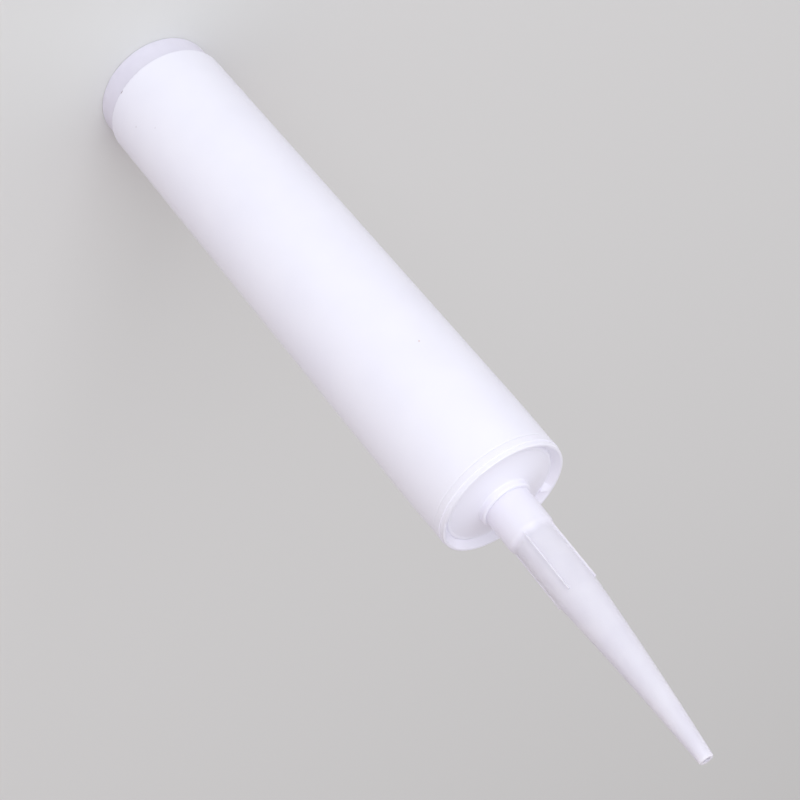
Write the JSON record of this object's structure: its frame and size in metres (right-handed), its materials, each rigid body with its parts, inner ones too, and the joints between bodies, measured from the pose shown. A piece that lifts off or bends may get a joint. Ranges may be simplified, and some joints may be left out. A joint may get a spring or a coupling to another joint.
{
  "type": "refillable caulk tube",
  "caption": "Empty refillable caulk tube: a plain round barrel, a cup-shaped plunger showing at its rear and a long tapered nozzle on its spout.",
  "frame": {"origin": "centre of the plunger's rear rim, on which the tube stands", "axes": "+Z along the barrel from the plunger to the nozzle; +X towards the side that the nozzle's tip leans to"},
  "size_m": [0.048, 0.048, 0.3299],
  "materials": {
    "barrel_plastic": "white moulded polyethylene, low gloss",
    "plunger_plastic": "natural unpigmented polyethylene, slightly grey and translucent",
    "nozzle_plastic": "natural translucent polyethylene, low gloss"
  },
  "bodies": {
    "barrel": {"barrel": "barrel_plastic"},
    "plunger": {"plunger": "plunger_plastic"},
    "nozzle": {"nozzle": "nozzle_plastic"}
  },
  "joints": [
    {"name": "plunger_slide", "type": "slide", "parent": "barrel", "child": "plunger", "axis": [0, 0, 1], "range_m": [-0.02, 0.198]},
    {"name": "nozzle_lift", "type": "slide", "parent": "barrel", "child": "nozzle", "axis": [0, 0, 1], "range_m": [0, 0.022]}
  ]
}
